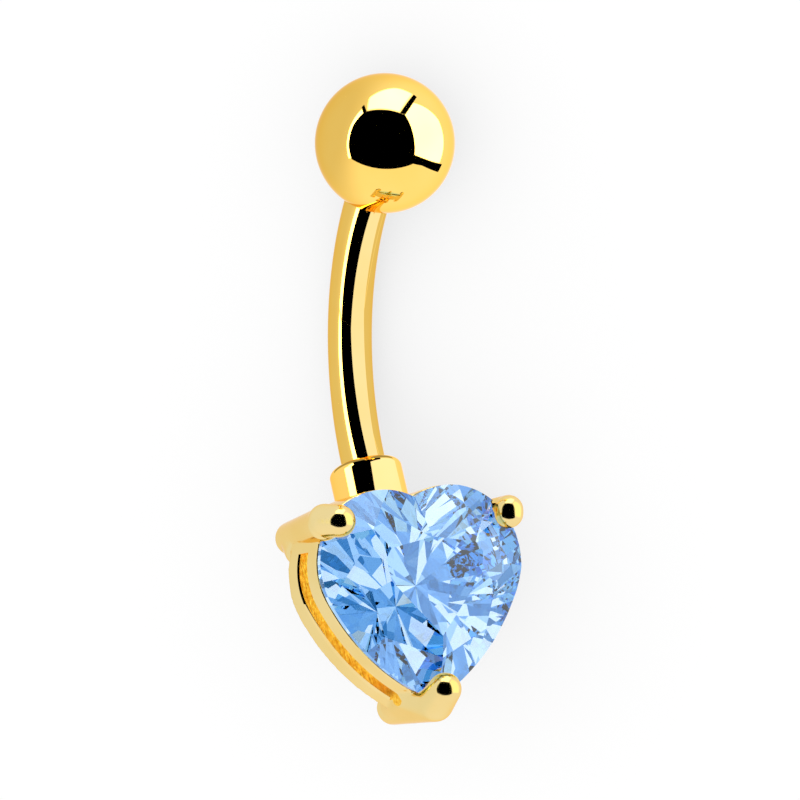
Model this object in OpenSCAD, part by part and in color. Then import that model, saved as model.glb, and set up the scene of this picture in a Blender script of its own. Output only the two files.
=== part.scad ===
// Navel ring: a curved barbell with a screw-on ball and a heart-cut stone in a cast basket with claws.
// Millimetres. Each piece is drawn upright, with the stone to the front (-Y), the ball up (+Z) and the
// origin at the middle of the stone's girdle. laid_down() then turns the whole jewel the way it comes to
// rest on a table, on the ball, the back of the bend and the foot of the right upper claw, with the table's
// surface at Z = 0.

/* [Ball] */
// Diameter of the screw-on ball
ball_d = 5; // [4:0.25:7]

/* [Bar] */
// Thickness of the curved bar
bar_d = 1.6; // [1.2:0.1:2]
// Length of the bare bar along its bend, from the collar's rim to the ball
bar_length = 10.3; // [8:0.1:13]
// Radius of the bar's bend, at the middle of the bar
bend_r = 9.8; // [8:0.1:13]
// Thickness of the post that the ball screws on
post_d = 1.2; // [0.8:0.05:1.2]
// Length of the post
post_length = 2.2; // [1.4:0.1:3]

/* [Collar] */
// Diameter of the collar that the bar stands in
collar_d = 2.65; // [2.4:0.05:3.2]
// Length of the collar
collar_length = 2.9; // [2.4:0.1:3.4]
// Rounding of the collar's rim
collar_round = 0.25; // [0.1:0.05:0.3]
// Height of the rim's centre above the top of the stone
collar_rise = 1.1; // [0.8:0.1:1.6]
// Distance of the rim's centre behind the middle of the stone's girdle
collar_back = 3.6; // [3.3:0.1:4]
// Lean of the collar to the back, in degrees
collar_lean = 15; // [10:1:20]
// Depth of the bar's foot in the collar
foot_depth = 2; // [1.2:0.1:2.2]
// Thickness of the bar's foot
foot_d = 1.3; // [1:0.05:1.5]

/* [Stone] */
// Width of the heart-cut stone
stone_w = 8; // [7.5:0.1:9]
// Radius of each lobe at the top of the heart
lobe_r = 2.68; // [2.5:0.02:2.8]
// Radius of the long curve down each flank
flank_r = 7.95; // [7.5:0.05:9]
// Angle below level at which a lobe runs into its flank, in degrees
join_angle = 24.6; // [20:0.2:30]
// Thickness of the girdle
girdle_t = 0.2; // [0.1:0.05:0.3]
// Height of the crown above the girdle
crown_h = 1.1; // [0.9:0.05:1.3]
// Slope of the crown's main facets, in degrees
crown_slope = 34; // [32:0.5:38]
// Slope of the star facets round the table, in degrees
star_slope = 21; // [18:0.5:24]
// Depth of the pavilion below the girdle
pavilion_h = 3.3; // [3:0.1:3.4]
// Height of the culet above the middle of the heart
culet_rise = 0.35; // [0:0.05:0.8]

/* [Basket] */
// Thickness of the basket's wall
wall_t = 0.6; // [0.5:0.05:0.8]
// How far the wall stands out past the stone
wall_out = 0.2; // [0.1:0.05:0.3]
// Distance of the wall's front edge behind the middle of the girdle
wall_front = 0.3; // [0.2:0.05:0.4]
// Distance of the wall's back edge behind the middle of the girdle
wall_back = 2.2; // [2:0.05:2.6]
// Distance of the slot's front edge behind the middle of the girdle
slot_front = 0.86; // [0.8:0.02:1]
// Width of the slot down each flank
slot_w = 0.6; // [0.4:0.05:0.7]
// Height of the slot's upper end above the middle of the heart
slot_top = 1.6; // [1:0.1:1.8]
// Distance of the slot's lower end from the middle of the heart
slot_end = 1.15; // [0.9:0.05:1.5]

/* [Claws] */
// Thickness of a claw's leg
claw_d = 1; // [0.8:0.05:1.2]
// Diameter of a claw's round head
head_d = 1.1; // [0.9:0.05:1.2]
// Distance from the middle of the girdle back to the claws' feet
claw_back = 3.6; // [3.2:0.1:3.8]
// Distance from the middle of the girdle forward to the middle of the tip claw's head
claw_front = 1.02; // [0.9:0.02:1.1]

/* [Fit] */
// Gap left between neighbouring pieces
gap = 0.02; // [0.01:0.01:0.04]

/* [Hidden] */
$fn = 96;

// Heart outline: a lobe and a flank arc on each side. Plan points are [x, y], with y up the heart.
lobe_x = stone_w / 2 - lobe_r;
flank_shift = (flank_r - lobe_r) * [cos(join_angle), -sin(join_angle)];
flank_x = lobe_x - flank_shift[0];
// Heights above the lobes' centres, before the heart is centred
flank_dy = -flank_shift[1];
tip_dy = flank_dy - sqrt(flank_r * flank_r - flank_x * flank_x);
stone_h = lobe_r - tip_dy;
lobe_y = stone_h / 2 - lobe_r;
flank_y = lobe_y + flank_dy;
tip_y = lobe_y + tip_dy;
cleft_y = lobe_y + sqrt(lobe_r * lobe_r - lobe_x * lobe_x);
lobe_c = [lobe_x, lobe_y];
flank_c = [flank_x, flank_y];

// Directions that the outline faces at the cleft and at the tip, in degrees from the right
cleft_facing = atan2(cleft_y - lobe_y, -lobe_x);
tip_facing = atan2(tip_y - flank_y, -flank_x);

// Directions of the main facets on the right half, from the cleft round to the tip
MAINS = [102, 58, 12, -30, -52];
// Turn of a girdle facet from the middle of its pair, as a share of the turn between two main facets
half_spread = 0.27;
// Depths that the upper and the lower girdle facets reach, as shares of the crown and of the pavilion
star_reach = 0.5;
lower_reach = 0.72;
// How much steeper the crown is beside the cleft and the tip, in degrees
end_steeper = 4;

// Bar, ball and collar
bar_sweep = bar_length / bend_r * 180 / PI;
bar_end_lean = collar_lean - bar_sweep;
rim_c = [0, collar_back, stone_h / 2 + collar_rise];
bend_c = rim_c + bend_r * [0, -cos(collar_lean), sin(collar_lean)];
bar_end = bend_c + bend_r * [0, cos(bar_end_lean), -sin(bar_end_lean)];
// Distance of the ball's middle from the bar's end, and how far its bore runs past the post
ball_seat = sqrt(ball_d * ball_d - bar_d * bar_d) / 2;
bore_spare = 0.2;
// How far the bar's full thickness runs into the collar, and its lap over the foot and the post
bar_lead = 0.4;
lap = 0.3;

// Claws, at the left lobe, the right lobe and the tip. Columns: side of the heart, direction from the
// lobe's centre in degrees, how far the leg passes outside the girdle as a share of claw_d, how far the
// head lies inside it as a share of head_d, how far forward the head is as a share of claw_front, and
// the leg's lean inwards to its foot in degrees.
CLAWS = [
    [-1,  39, 0.20, 0.06, 0.84, 8],
    [ 1,  38, 0.07, 0.18, 0.98, 5],
    [ 0, -90, 0.10, 0.36, 1.00, 1]];
// How far the elbow lies behind the head, its thickness and the finger's, as shares of claw_d
elbow_drop = 0.3;
elbow_swell = 1.04;
finger_share = 0.9;
// Rounding of a foot's edge
foot_round = claw_d / 5;

// The cast bridge that carries the collar at the cleft
bridge_w = bar_d;
bridge_h = collar_d / 2;

// Resting place: the jewel lies on the ball, the back of the bend and the foot of the right upper claw.
// UP is the table's upward direction in the jewel, given by a turn round the jewel and a rise, in degrees.
// settle() moves the two angles by Newton's rule until all three touch the table.
FIRST_UP = [-133, -13];
function upward(q) = [cos(q[1]) * cos(q[0]), cos(q[1]) * sin(q[0]), sin(q[1])];
function ball_low(n) = ball_c * n - ball_d / 2;
function bend_low(n) = bend_c * n - bend_r * norm([n[1], n[2]]) - bar_d / 2;
function foot_low(n) = foot_c * n - (claw_d / 2 - foot_round) * norm(cross(n, foot_axis)) - foot_round;
function tilt_error(q) =
    let (n = upward(q))
    [ball_low(n) - bend_low(n), foot_low(n) - bend_low(n)];
function settle(q, steps = 8) = steps == 0 ? q :
    let (h = 0.01,
         e = tilt_error(q),
         a = (tilt_error(q + [h, 0]) - e) / h,
         b = (tilt_error(q + [0, h]) - e) / h,
         det = a[0] * b[1] - b[0] * a[1])
    settle(q - [e[0] * b[1] - e[1] * b[0], a[0] * e[1] - a[1] * e[0]] / det, steps - 1);
rest_claw = CLAWS[1];
ball_c = bar_end + (ball_seat + gap) * [0, sin(bar_end_lean), cos(bar_end_lean)];
foot_axis = cos(rest_claw[5]) * [0, -1, 0] + sin(rest_claw[5]) * claw_outward(rest_claw);
foot_c = claw_point(rest_claw, leg_out(rest_claw, -claw_back), -claw_back) + foot_round * foot_axis;
UP = upward(settle(FIRST_UP));

// On the table +Y runs from the heart to the ball, and the middle of the jewel's box is at X = Y = 0
along = ball_c - (ball_c * UP) * UP;
AHEAD = along / norm(along);
ACROSS = cross(AHEAD, UP);
OUTERMOST = concat([[ball_c, ball_d / 2]],
    [for (c = CLAWS) [claw_point(c, leg_out(c, elbow_front(c)), elbow_front(c)), claw_d * elbow_swell / 2]],
    [for (c = CLAWS) [claw_point(c, -c[3] * head_d, c[4] * claw_front), head_d / 2]],
    [for (c = CLAWS) [claw_point(c, leg_out(c, -claw_back), claw_d / 2 - claw_back), claw_d / 2]]);
function far(e) = max([for (o = OUTERMOST) o[0] * e + o[1]]);
function middle(e) = (far(e) - far(-e)) / 2;
LAID_DOWN = [
    concat(ACROSS, -middle(ACROSS)),
    concat(AHEAD, -middle(AHEAD)),
    concat(UP, -bend_low(UP)),
    [0, 0, 0, 1]];

GOLD = [0.93, 0.72, 0.29];
BLUE = [0.45, 0.7, 0.95, 0.8];

// Distance of the outline's tangent from the middle of the heart, facing the angle a
function reach(a) = a >= -join_angle
    ? lobe_c * [cos(a), sin(a)] + lobe_r
    : flank_c * [cos(a), sin(a)] + flank_r;
function facing(a) = [cos(a), sin(a)];
function meet(a, da, b, db) = [da * sin(b) - db * sin(a), db * cos(a) - da * cos(b)] / sin(b - a);
function mid(i) = (MAINS[i] + MAINS[i + 1]) / 2;

// Crown: the main facets fall at one slope from the table to the girdle
function crown_main(a, t) = reach(a) - t / tan(crown_slope);
function crown_corner(i, t) =
    meet(MAINS[i], crown_main(MAINS[i], t), MAINS[i + 1], crown_main(MAINS[i + 1], t));

// Pavilion: the main facets all run to the culet
culet = [0, culet_rise];
function pavilion_main(a, t) = reach(a) - t / pavilion_h * (reach(a) - culet * facing(a));
function pavilion_corner(i, t) =
    meet(MAINS[i], pavilion_main(MAINS[i], t), MAINS[i + 1], pavilion_main(MAINS[i + 1], t));

// Slope of a facet that touches the girdle facing a and passes the point p at depth t
function slope_through(a, p, t) = atan2(t, reach(a) - p * facing(a));

// One half of the heart, right of the middle line, grown outwards by grow
module half_heart(grow = 0) {
    far = 3 * stone_w;
    intersection() {
        union() {
            translate(lobe_c) circle(lobe_r + grow);
            intersection() {
                translate(flank_c) circle(flank_r + grow);
                polygon([lobe_c - [far, -far * tan(join_angle)],
                         lobe_c + [far, -far * tan(join_angle)],
                         [far, -far], [-far, -far]]);
            }
        }
        translate([0, -far]) square([far, 2 * far]);
    }
}

module heart(grow = 0) {
    half_heart(grow);
    mirror([1, 0]) half_heart(grow);
}

// Everything outside a facet that faces a, slopes down by slope and lies d out at height h
module off_facet(a, slope, d, h) {
    size = 3 * stone_w;
    rotate([0, 0, a]) translate([d, 0, h]) rotate([0, slope, 0])
        translate([-size / 2, -size / 2, 0]) cube([size, size, size]);
}

module crown_cuts(grow) {
    top = girdle_t / 2 + grow;
    for (a = MAINS) off_facet(a, crown_slope, reach(a) + grow, top);
    for (i = [0 : len(MAINS) - 2]) {
        corner = crown_corner(i, crown_h * star_reach);
        off_facet(mid(i), star_slope, corner * facing(mid(i)) + grow, top + crown_h * star_reach);
        for (side = [-1, 1]) {
            a = mid(i) + side * half_spread * (MAINS[i + 1] - MAINS[i]);
            off_facet(a, slope_through(a, corner, crown_h * star_reach), reach(a) + grow, top);
        }
    }
    for (a = [(cleft_facing + MAINS[0]) / 2, (tip_facing + MAINS[len(MAINS) - 1]) / 2])
        off_facet(a, crown_slope + end_steeper, reach(a) + grow, top);
}

module pavilion_cuts(grow) {
    top = girdle_t / 2 + grow;
    for (a = MAINS) off_facet(a, slope_through(a, culet, pavilion_h), reach(a) + grow, top);
    for (i = [0 : len(MAINS) - 2]) {
        corner = pavilion_corner(i, pavilion_h * lower_reach);
        for (side = [-1, 1]) {
            a = mid(i) + side * half_spread * (MAINS[i + 1] - MAINS[i]);
            off_facet(a, slope_through(a, corner, pavilion_h * lower_reach), reach(a) + grow, top);
        }
    }
}

// Half of the stone, table up
module half_stone(grow) {
    difference() {
        translate([0, 0, -girdle_t / 2 - pavilion_h - 2 * grow])
            linear_extrude(girdle_t + pavilion_h + crown_h + 3 * grow) half_heart(grow);
        crown_cuts(grow);
        mirror([0, 0, 1]) pavilion_cuts(grow);
    }
}

// The cut stone, table to the front, grown by grow on every side
module cut_stone(grow = 0) {
    rotate([90, 0, 0]) {
        half_stone(grow);
        mirror([1, 0, 0]) half_stone(grow);
    }
}

// A round rod up from z = 0, with its lower edge rounded
module rod(r, length, round) {
    rotate_extrude() {
        translate([0, round]) square([r, length - round]);
        square([r - round, length]);
        translate([r - round, round]) circle(round);
    }
}

// A claw's own frame: its place on the girdle, its outward direction and its depth axis, in the jewel
function claw_outward(c) = c[0] == 0 ? [0, 0, -1] : [c[0] * cos(c[1]), 0, sin(c[1])];
function claw_place(c) = c[0] == 0 ? [0, 0, tip_y] :
    [c[0] * lobe_x, 0, lobe_y] + lobe_r * claw_outward(c);
function claw_point(c, out, front) = claw_place(c) + out * claw_outward(c) + front * [0, -1, 0];
function elbow_front(c) = c[4] * claw_front - elbow_drop * claw_d;
function leg_out(c, front) = c[2] * claw_d + front * tan(c[5]);

// One claw: a leaning leg, an elbow, and a finger to a round head
module claw(c) {
    up = elbow_front(c);
    elbow = [leg_out(c, up), 0, up];
    head = [-c[3] * head_d, 0, c[4] * claw_front];
    finger = head - elbow;
    leg = (claw_back + up) / cos(c[5]);
    turn = atan2(claw_outward(c)[2], claw_outward(c)[0]);
    translate(claw_place(c)) rotate([0, -turn, 0]) rotate([90, 0, 0]) {
        translate(elbow) rotate([0, c[5], 0]) translate([0, 0, -leg]) rod(claw_d / 2, leg, foot_round);
        translate(elbow) sphere(d = claw_d * elbow_swell);
        translate(elbow) rotate([0, atan2(finger[0], finger[2]), 0])
            cylinder(h = norm(finger), d = claw_d * finger_share);
        translate(head) sphere(d = head_d);
    }
}

module claws() {
    for (c = CLAWS) claw(c);
}

// The heart-shaped wall round the back of the stone, open behind
module basket_wall() {
    translate([0, wall_back, 0]) rotate([90, 0, 0]) linear_extrude(wall_back - wall_front)
        difference() {
            heart(wall_out);
            heart(wall_out - wall_t);
        }
}

// A long slot down each flank, cut sideways through the wall
module slots() {
    reach_out = stone_w;
    for (side = [0, 1]) mirror([side, 0, 0])
        translate([slot_end, slot_front, slot_top - reach_out]) cube([reach_out, slot_w, reach_out]);
}

// Stands a child at the collar's rim, with its Z along the collar
module at_rim() {
    translate(rim_c) rotate([-collar_lean, 0, 0]) children();
}

// Stands a child at the bar's upper end, with its Z along the post
module at_bar_end() {
    translate(bar_end) rotate([-bar_end_lean, 0, 0]) children();
}

module collar() {
    at_rim() mirror([0, 0, 1]) rod(collar_d / 2, collar_length, collar_round);
    intersection() {
        translate([-bridge_w / 2, wall_front, cleft_y - bridge_h])
            cube([bridge_w, collar_back - wall_front, bridge_h]);
        translate([0, collar_back, 0]) rotate([90, 0, 0]) linear_extrude(collar_back) heart(wall_out);
    }
}

module laid_down() {
    multmatrix(LAID_DOWN) children();
}

module ball() {
    color(GOLD) laid_down() at_bar_end() difference() {
        translate([0, 0, ball_seat + gap]) sphere(d = ball_d);
        translate([0, 0, gap - ball_d]) cylinder(h = ball_d, d = ball_d);
        cylinder(h = gap + post_length + bore_spare, d = post_d + 2 * gap);
    }
}

// The bar and its foot, grown outwards by grow where the collar is cut for them
module bar_arc(grow = 0) {
    lead = bar_lead / bend_r * 180 / PI;
    translate(bend_c) rotate([90, 0, 90]) rotate([0, 0, -collar_lean - lead])
        rotate_extrude(angle = bar_sweep + lead) translate([bend_r, 0]) circle(d = bar_d + 2 * grow);
}

module bar_foot(grow = 0) {
    at_rim() translate([0, 0, -foot_depth - grow])
        cylinder(h = foot_depth + grow - lap / 2, d = foot_d + 2 * grow);
}

module curved_bar() {
    color(GOLD) laid_down() {
        bar_arc();
        bar_foot();
        at_bar_end() translate([0, 0, -lap]) cylinder(h = lap + post_length, d = post_d);
    }
}

module heart_setting() {
    color(GOLD) laid_down() difference() {
        union() {
            basket_wall();
            claws();
            collar();
        }
        cut_stone(gap);
        slots();
        bar_arc(gap);
        bar_foot(gap);
    }
}

module heart_stone() {
    color(BLUE) laid_down() cut_stone();
}

ball();
curved_bar();
heart_setting();
heart_stone();
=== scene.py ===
"""A gold navel ring with a pale blue heart-cut stone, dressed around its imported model.

Every piece is shaped in millimetres in the jewel's own frame, as it is worn: the stone to the
front (-Y), the ball up (+Z) and the origin at the middle of the stone's girdle. Laying then
turns it the way it rests on the table and scales it to metres.
"""

import logging
import math
from dataclasses import dataclass, field
from enum import Enum
from typing import Any, Callable, Iterable, Optional, Sequence

import bmesh
import bpy
from mathutils import Matrix, Vector

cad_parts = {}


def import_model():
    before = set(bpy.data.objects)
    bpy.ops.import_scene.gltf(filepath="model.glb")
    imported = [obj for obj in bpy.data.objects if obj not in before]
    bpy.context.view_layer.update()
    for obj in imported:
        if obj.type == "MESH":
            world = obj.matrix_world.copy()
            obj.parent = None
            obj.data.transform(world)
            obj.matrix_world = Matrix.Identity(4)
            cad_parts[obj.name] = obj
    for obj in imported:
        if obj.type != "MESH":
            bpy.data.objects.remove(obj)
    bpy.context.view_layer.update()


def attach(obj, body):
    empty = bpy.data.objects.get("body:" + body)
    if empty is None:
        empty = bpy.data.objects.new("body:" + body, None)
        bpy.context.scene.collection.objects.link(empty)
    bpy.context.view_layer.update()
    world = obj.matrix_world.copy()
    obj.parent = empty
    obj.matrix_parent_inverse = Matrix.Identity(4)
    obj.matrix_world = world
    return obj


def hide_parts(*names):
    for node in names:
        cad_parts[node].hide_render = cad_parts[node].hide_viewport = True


LOG = logging.getLogger("navel_ring")
MM = 0.001
# Points nearer than WELD are merged; points nearer than NEAR to a plane lie on it.
WELD = 1e-4
NEAR = 1e-5
# Angles past which an edge is sharp, for turned, cast and facetted pieces.
TURNED_CREASE = math.radians(25)
CAST_CREASE = math.radians(38)
FACET_CREASE = math.radians(3.2)
FRONT = Vector((0.0, -1.0, 0.0))


class Slot(Enum):
    """The record's material slots."""

    POLISHED = "polished_gold"
    CAST = "cast_gold"
    STONE = "blue_stone"


class Body(Enum):
    """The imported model's bodies."""

    JEWEL = "jewel"
    BALL = "ball"


# ---------------------------------------------------------------- sizes


@dataclass(frozen=True)
class Heart:
    """The heart's outline in the XZ plane: a lobe arc and a flank arc on each side."""

    width: float = 8.0
    lobe_r: float = 2.68
    flank_r: float = 7.95
    join: float = math.radians(24.6)

    @property
    def lobe_x(self) -> float:
        """Distance of a lobe's centre from the middle line."""
        return self.width / 2 - self.lobe_r

    @property
    def flank_x(self) -> float:
        """Place of the flank arc's centre, across the middle line."""
        return self.lobe_x - (self.flank_r - self.lobe_r) * math.cos(self.join)

    @property
    def flank_rise(self) -> float:
        """Height of the flank arc's centre above the lobes' centres."""
        return (self.flank_r - self.lobe_r) * math.sin(self.join)

    @property
    def tip_drop(self) -> float:
        """Depth of the tip below the lobes' centres."""
        return math.sqrt(self.flank_r**2 - self.flank_x**2) - self.flank_rise

    @property
    def lobe_z(self) -> float:
        """Height of the lobes' centres above the middle of the heart."""
        return (self.tip_drop - self.lobe_r) / 2

    @property
    def top(self) -> float:
        """Height of the lobes' tops above the middle of the heart."""
        return self.lobe_z + self.lobe_r

    @property
    def flank_z(self) -> float:
        """Height of the flank arc's centre."""
        return self.lobe_z + self.flank_rise

    def cleft_angle(self, grow: float) -> float:
        """Direction from a lobe's centre to the cleft of the outline grown by grow."""
        return math.acos(-self.lobe_x / (self.lobe_r + grow))

    def tip_angle(self, grow: float) -> float:
        """Direction from the flank's centre to the tip of the outline grown by grow."""
        return -math.acos(-self.flank_x / (self.flank_r + grow))

    def cleft_z(self, grow: float = 0.0) -> float:
        """Height of the cleft."""
        return self.lobe_z + (self.lobe_r + grow) * math.sin(self.cleft_angle(grow))

    def tip_z(self, grow: float = 0.0) -> float:
        """Height of the tip."""
        return self.flank_z + (self.flank_r + grow) * math.sin(self.tip_angle(grow))

    def reach(self, angle: float) -> float:
        """Distance from the middle of the heart to the tangent that faces the angle.

        Args:
            angle: the direction that the outline faces, in radians from the right.

        Returns:
            The distance in millimetres, on the right half.
        """
        across, up = math.cos(angle), math.sin(angle)
        if angle >= -self.join:
            return self.lobe_x * across + self.lobe_z * up + self.lobe_r
        return self.flank_x * across + self.flank_z * up + self.flank_r

    def draw_half(self, bm: bmesh.types.BMesh, grow: float, depth: float, steps: int) -> list:
        """Draws the right half of the outline from the tip to the cleft.

        Args:
            bm: the mesh to draw in.
            grow: distance outside the stone's outline.
            depth: the outline's place along Y.
            steps: spans of the lobe's arc; the flank gets half as many.

        Returns:
            The new vertices and edges.
        """
        before = set(bm.verts), set(bm.edges)
        point = [bm.verts.new((0.0, depth, self.tip_z(grow)))]
        arcs = (
            (self.flank_x, self.flank_z, self.tip_angle(grow), -self.join, steps // 2),
            (self.lobe_x, self.lobe_z, -self.join, self.cleft_angle(grow), steps),
        )
        for x, z, start, end, spans in arcs:
            turned = bmesh.ops.spin(
                bm, geom=point, cent=(x, depth, z), axis=(0, -1, 0), dvec=(0, 0, 0),
                angle=end - start, steps=spans, use_duplicate=False,
            )
            point = [v for v in turned["geom_last"] if isinstance(v, bmesh.types.BMVert)]
        point[0].co.x = 0.0
        verts = [v for v in bm.verts if v not in before[0]]
        return verts + [e for e in bm.edges if e not in before[1]]

    def draw(self, bm: bmesh.types.BMesh, grow: float, depth: float, steps: int) -> list:
        """Draws the whole closed outline.

        Args:
            bm: the mesh to draw in.
            grow: distance outside the stone's outline.
            depth: the outline's place along Y.
            steps: spans of each lobe's arc.

        Returns:
            The outline's edges.
        """
        before = set(bm.edges)
        half = self.draw_half(bm, grow, depth, steps)
        mirrored(bm, half)
        return [e for e in bm.edges if e not in before]


@dataclass(frozen=True)
class Wear:
    """Where the parts meet: the sizes that more than one piece shares."""

    ball_d: float = 5.0
    bar_d: float = 1.6
    bar_length: float = 10.3
    bend_r: float = 9.8
    post_d: float = 1.2
    post_length: float = 2.2
    collar_d: float = 2.65
    collar_length: float = 2.9
    collar_rise: float = 1.1
    collar_back: float = 3.6
    collar_lean: float = math.radians(15)
    gap: float = 0.02
    heart: Heart = field(default_factory=Heart)

    @property
    def sweep(self) -> float:
        """Angle of the bend between the collar and the ball."""
        return self.bar_length / self.bend_r

    @property
    def end_lean(self) -> float:
        """Lean of the bar's upper end to the back; it is negative, as it leans forward."""
        return self.collar_lean - self.sweep

    @property
    def rim(self) -> Vector:
        """Centre of the collar's rim."""
        return Vector((0, self.collar_back, self.heart.top + self.collar_rise))

    @property
    def bend(self) -> Vector:
        """Centre of the bar's bend."""
        lean = self.collar_lean
        return self.rim + self.bend_r * Vector((0, -math.cos(lean), math.sin(lean)))

    @property
    def bar_end(self) -> Vector:
        """Middle of the bar's upper end."""
        lean = self.end_lean
        return self.bend + self.bend_r * Vector((0, math.cos(lean), -math.sin(lean)))

    @property
    def ball_seat(self) -> float:
        """Distance of the ball's middle from its flat."""
        return math.sqrt(self.ball_d**2 - self.bar_d**2) / 2

    def at_rim(self) -> Matrix:
        """Place of the collar's rim, with Z along the collar."""
        return Matrix.Translation(self.rim) @ Matrix.Rotation(-self.collar_lean, 4, "X")

    def at_bar_end(self) -> Matrix:
        """Place of the bar's upper end, with Z along the post."""
        return Matrix.Translation(self.bar_end) @ Matrix.Rotation(-self.end_lean, 4, "X")


@dataclass(frozen=True)
class Laying:
    """The jewel's resting place: on the ball, the back of the bend and a claw's foot."""

    up: Vector = Vector((-0.66173, -0.716105, -0.222052))
    ahead: Vector = Vector((-0.129879, -0.182204, 0.974645))
    shift: Vector = Vector((0.714732, -6.74134, 5.60226))

    def matrix(self) -> Matrix:
        """Turns the jewel onto the table and scales it from millimetres to metres.

        Returns:
            The place of the jewel's own frame in the row's frame.
        """
        across = self.ahead.cross(self.up)
        rows = [
            (*axis.normalized(), offset)
            for axis, offset in zip((across, self.ahead, self.up), self.shift)
        ]
        return Matrix.Scale(MM, 4) @ Matrix((*rows, (0, 0, 0, 1)))


# ---------------------------------------------------------------- workshop


def linked(bm: bmesh.types.BMesh, name: str) -> bpy.types.Object:
    """Puts a mesh in a new object of the scene.

    Args:
        bm: the mesh, which is freed.
        name: the object's name.

    Returns:
        The object.
    """
    mesh = bpy.data.meshes.new(name)
    bm.to_mesh(mesh)
    bm.free()
    made = bpy.data.objects.new(name, mesh)
    bpy.context.scene.collection.objects.link(made)
    return made


def temporary(bm: bmesh.types.BMesh) -> bpy.types.Object:
    """Puts a mesh, which is freed, in a scratch object with its faces outwards."""
    bmesh.ops.recalc_face_normals(bm, faces=bm.faces[:])
    return linked(bm, "scratch")


def discard(made: bpy.types.Object) -> None:
    """Removes a scratch object with its mesh.

    Args:
        made: the scratch object.
    """
    mesh = made.data
    bpy.data.objects.remove(made)
    bpy.data.meshes.remove(mesh)


def evaluated(made: bpy.types.Object) -> bmesh.types.BMesh:
    """Applies a scratch object's modifiers and removes it.

    Args:
        made: the scratch object.

    Returns:
        Its mesh with the modifiers applied.
    """
    graph = bpy.context.evaluated_depsgraph_get()
    graph.update()
    result = bmesh.new()
    shaped = made.evaluated_get(graph)
    result.from_mesh(shaped.to_mesh())
    shaped.to_mesh_clear()
    discard(made)
    return result


def modified(bm: bmesh.types.BMesh, kind: str, **settings: object) -> bmesh.types.BMesh:
    """Applies one modifier to a mesh.

    Args:
        bm: the mesh; it is freed.
        kind: the modifier's type.
        settings: the modifier's settings.

    Returns:
        The changed mesh.
    """
    made = temporary(bm)
    modifier = made.modifiers.new(kind.lower(), kind)
    for name, value in settings.items():
        setattr(modifier, name, value)
    return evaluated(made)


def fused(bm: bmesh.types.BMesh, voxel: float) -> bmesh.types.BMesh:
    """Joins overlapping shells into one even skin, with faces of the voxel's size."""
    return modified(bm, "REMESH", mode="VOXEL", voxel_size=voxel, adaptivity=0.0)


def swollen(bm: bmesh.types.BMesh, distance: float) -> bmesh.types.BMesh:
    """Moves a skin outwards along its normals, or inwards where distance is negative."""
    return modified(bm, "DISPLACE", mid_level=0.0, strength=distance, direction="NORMAL")


def relaxed(bm: bmesh.types.BMesh, rounds: int) -> bmesh.types.BMesh:
    """Smooths a skin by moving each vertex towards its neighbours, rounds times over."""
    return modified(bm, "SMOOTH", factor=0.5, iterations=rounds)


def merged(target: bmesh.types.BMesh, extra: bmesh.types.BMesh) -> bmesh.types.BMesh:
    """Adds another mesh's shells to a mesh.

    Args:
        target: the mesh that grows.
        extra: the other mesh; it is freed.

    Returns:
        The grown mesh.
    """
    carrier = bpy.data.meshes.new("carrier")
    extra.to_mesh(carrier)
    extra.free()
    target.from_mesh(carrier)
    bpy.data.meshes.remove(carrier)
    return target


def carved(
    bm: bmesh.types.BMesh, tool: bmesh.types.BMesh, surface: Optional[bpy.types.Material] = None
) -> bmesh.types.BMesh:
    """Cuts a tool's shape out of a mesh.

    Args:
        bm: the mesh to cut; it is freed.
        tool: the closed shape to take away; it is freed.
        surface: the material that the cut faces get, or None for the mesh's own.

    Returns:
        The cut mesh. Faces cut by a tool with a material have material index 1.
    """
    body, cutter = temporary(bm), temporary(tool)
    if surface is not None:
        for made in (body, cutter):
            for _ in range(2):
                made.data.materials.append(surface)
        for face in cutter.data.polygons:
            face.material_index = 1
    cut = body.modifiers.new("cut", "BOOLEAN")
    cut.operation = "DIFFERENCE"
    cut.solver = "EXACT"
    cut.object = cutter
    result = evaluated(body)
    discard(cutter)
    return result


def whole(bm: bmesh.types.BMesh) -> list:
    """Every vertex, edge and face of a mesh."""
    return bm.verts[:] + bm.edges[:] + bm.faces[:]


def sliced(
    bm: bmesh.types.BMesh,
    point: Sequence[float],
    normal: Sequence[float],
    near: float = NEAR,
    closed: bool = True,
) -> None:
    """Takes away what lies outside a plane.

    Args:
        bm: the mesh to cut.
        point: a point of the plane.
        normal: the plane's direction outwards.
        near: the distance within which a point counts as on the plane.
        closed: whether the cut gets a face.
    """
    cut = bmesh.ops.bisect_plane(
        bm, geom=whole(bm), dist=near, plane_co=point, plane_no=normal, clear_outer=True
    )
    edges = [e for e in cut["geom_cut"] if isinstance(e, bmesh.types.BMEdge)]
    if closed and len(edges) > 2:
        bmesh.ops.holes_fill(bm, edges=edges, sides=0)


def mirrored(bm: bmesh.types.BMesh, half: list) -> None:
    """Copies the right half across the middle plane and welds the two."""
    bmesh.ops.mirror(bm, geom=half, matrix=Matrix.Identity(4), merge_dist=WELD, axis="X")


def turned(bm: bmesh.types.BMesh, profile: list, steps: int) -> None:
    """Spins a profile once round the Z axis and welds its seams.

    Args:
        bm: the profile's mesh.
        profile: the profile's vertices and edges, in the XZ plane.
        steps: spans of the full turn.
    """
    bmesh.ops.spin(
        bm, geom=profile, cent=(0, 0, 0), axis=(0, 0, 1), dvec=(0, 0, 0),
        angle=math.tau, steps=steps, use_merge=True,
    )
    bmesh.ops.remove_doubles(bm, verts=bm.verts[:], dist=WELD)


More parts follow.
